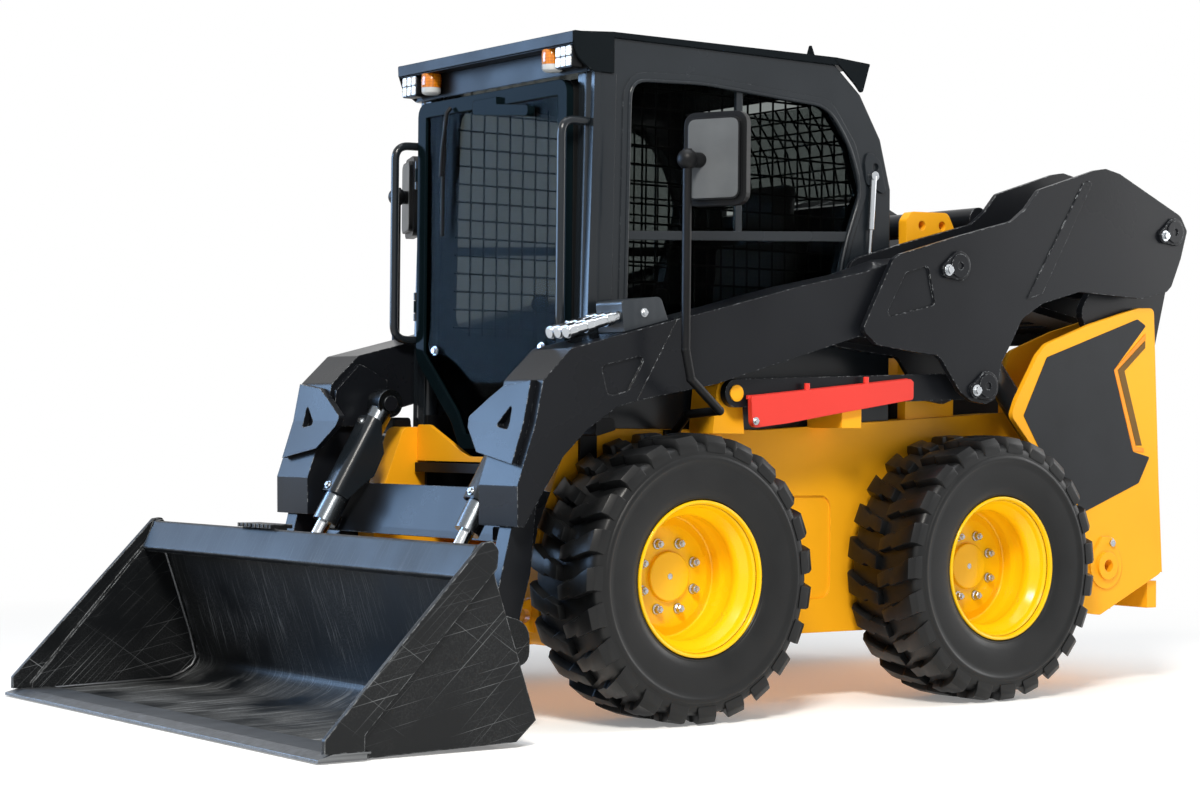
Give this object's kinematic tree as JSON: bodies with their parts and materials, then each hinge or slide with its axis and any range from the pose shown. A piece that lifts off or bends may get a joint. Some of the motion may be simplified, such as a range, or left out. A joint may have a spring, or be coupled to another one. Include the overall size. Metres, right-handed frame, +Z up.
{
  "type": "skid steer loader",
  "caption": "Compact four-wheel skid steer loader with a vertical-lift arm linkage, an enclosed cab and a wide dirt bucket resting on the ground.",
  "frame": {"origin": "on the ground below the centre of the bounding box", "axes": "+X forward towards the bucket, +Y to the machine's left, +Z up"},
  "size_m": [3.5157, 1.908, 2.0757],
  "materials": {
    "yellow_paint": "semi-gloss enamel",
    "charcoal_paint": "satin powder coat",
    "rim_paint": "semi-gloss enamel",
    "red_paint": "semi-gloss enamel",
    "black_plastic": "grained",
    "tyre_rubber": "matte",
    "tinted_glass": "tinted",
    "chrome_rod": "polished",
    "barrel_steel": "gloss",
    "bucket_paint": "worn",
    "edge_steel": "worn",
    "lamp_clear": "clear lens",
    "lamp_amber": "amber lens",
    "lamp_red": "red lens",
    "engine_iron": "painted",
    "seat_cover": "vinyl"
  },
  "bodies": {
    "chassis": {"main_frame": "yellow_paint", "chain_cases": "yellow_paint", "rear_towers": "yellow_paint", "arm_stops": "black_plastic", "lift_strut": "red_paint", "engine": "engine_iron", "engine_hood": "charcoal_paint", "cab_frame": "charcoal_paint", "cab_roof": "charcoal_paint", "cab_floor": "black_plastic", "cab_glass": "tinted_glass", "side_grilles": "black_plastic", "seat": "seat_cover", "controls": "black_plastic", "work_lamps": "lamp_clear", "amber_lamps": "lamp_amber", "grab_handles": "black_plastic", "mirrors": "black_plastic", "gas_struts": "black_plastic", "tail_lamps": "lamp_red"},
    "door": {"door_frame": "black_plastic", "door_glass": "tinted_glass"},
    "tailgate": {"tailgate": "yellow_paint", "tailgate_grille": "black_plastic"},
    "rear_links": {"rear_links": "charcoal_paint"},
    "lift_arms": {"arm_plates": "charcoal_paint", "arm_beams": "charcoal_paint", "arm_fronts": "charcoal_paint", "arm_shoulders": "charcoal_paint", "arm_feet": "charcoal_paint", "aux_couplers": "edge_steel"},
    "control_links": {"control_links": "charcoal_paint"},
    "lift_barrels": {"lift_barrels": "barrel_steel"},
    "lift_rods": {"lift_rods": "chrome_rod"},
    "tilt_barrels": {"tilt_barrels": "barrel_steel", "tilt_guards": "charcoal_paint"},
    "tilt_rods": {"tilt_rods": "chrome_rod"},
    "bucket": {"bucket_shell": "bucket_paint", "cutting_edge": "edge_steel", "coupler": "bucket_paint"},
    "wheel_front_left": {"tyre_front_left": "tyre_rubber", "rim_front_left": "rim_paint"},
    "wheel_front_right": {"tyre_front_right": "tyre_rubber", "rim_front_right": "rim_paint"},
    "wheel_rear_left": {"tyre_rear_left": "tyre_rubber", "rim_rear_left": "rim_paint"},
    "wheel_rear_right": {"tyre_rear_right": "tyre_rubber", "rim_rear_right": "rim_paint"}
  },
  "joints": [
    {"name": "roll_front_left", "type": "hinge", "parent": "chassis", "child": "wheel_front_left", "pos_m": [0.4185, 0.668, 0.416], "axis": [0, 1, 0], "continuous": true},
    {"name": "roll_front_right", "type": "hinge", "parent": "chassis", "child": "wheel_front_right", "pos_m": [0.4185, -0.668, 0.416], "axis": [0, 1, 0], "continuous": true},
    {"name": "roll_rear_left", "type": "hinge", "parent": "chassis", "child": "wheel_rear_left", "pos_m": [-0.7895, 0.668, 0.416], "axis": [0, 1, 0], "continuous": true},
    {"name": "roll_rear_right", "type": "hinge", "parent": "chassis", "child": "wheel_rear_right", "pos_m": [-0.7895, -0.668, 0.416], "axis": [0, 1, 0], "continuous": true},
    {"name": "rear_link_pivot", "type": "hinge", "parent": "chassis", "child": "rear_links", "pos_m": [-1.5705, 0, 0.96], "axis": [0, 1, 0], "range_deg": [0, 60.42]},
    {"name": "lift", "type": "hinge", "parent": "rear_links", "child": "lift_arms", "pos_m": [-1.6855, 0, 1.522], "axis": [0, -1, 0], "range_deg": [0, 120.42]},
    {"name": "control_link_pivot", "type": "hinge", "parent": "chassis", "child": "control_links", "pos_m": [0.1645, 0, 0.95], "axis": [0, 1, 0], "range_deg": [0, 63.39]},
    {"name": "lift_barrel_pivot", "type": "hinge", "parent": "chassis", "child": "lift_barrels", "pos_m": [-1.4105, 0, 0.56], "axis": [0, -1, 0], "range_deg": [0, 12.17]},
    {"name": "lift_rod_slide", "type": "slide", "parent": "lift_barrels", "child": "lift_rods", "axis": [0.6741, 0, 0.7386], "range_m": [0, 0.732]},
    {"name": "tilt", "type": "hinge", "parent": "lift_arms", "child": "bucket", "pos_m": [0.9745, 0, 0.24], "axis": [0, 1, 0], "range_deg": [-30, 100]},
    {"name": "tilt_barrel_pivot", "type": "hinge", "parent": "lift_arms", "child": "tilt_barrels", "pos_m": [0.7395, 0, 0.915], "axis": [0, 1, 0], "range_deg": [-1.14, 3.79]},
    {"name": "tilt_rod_slide", "type": "slide", "parent": "tilt_barrels", "child": "tilt_rods", "axis": [0.5033, 0, -0.8641], "range_m": [-0.08, 0.262]},
    {"name": "door_swing", "type": "hinge", "parent": "chassis", "child": "door", "pos_m": [0.6095, -0.42, 1.4], "axis": [0, 0, -1], "range_deg": [0, 55]},
    {"name": "tailgate_swing", "type": "hinge", "parent": "chassis", "child": "tailgate", "pos_m": [-1.6735, -0.462, 0.75], "axis": [0, 0, 1], "range_deg": [0, 100]}
  ],
  "couplings": [
    {"joint": "rear_link_pivot", "follows": "lift", "ratio": 0.50175},
    {"joint": "control_link_pivot", "follows": "lift", "ratio": 0.5264},
    {"joint": "lift_barrel_pivot", "follows": "lift", "ratio": 0.10107},
    {"joint": "lift_rod_slide", "follows": "lift", "m_per_rad": 0.34754},
    {"joint": "tilt_barrel_pivot", "follows": "tilt", "ratio": 0.037834},
    {"joint": "tilt_rod_slide", "follows": "tilt", "m_per_rad": 0.14917}
  ]
}
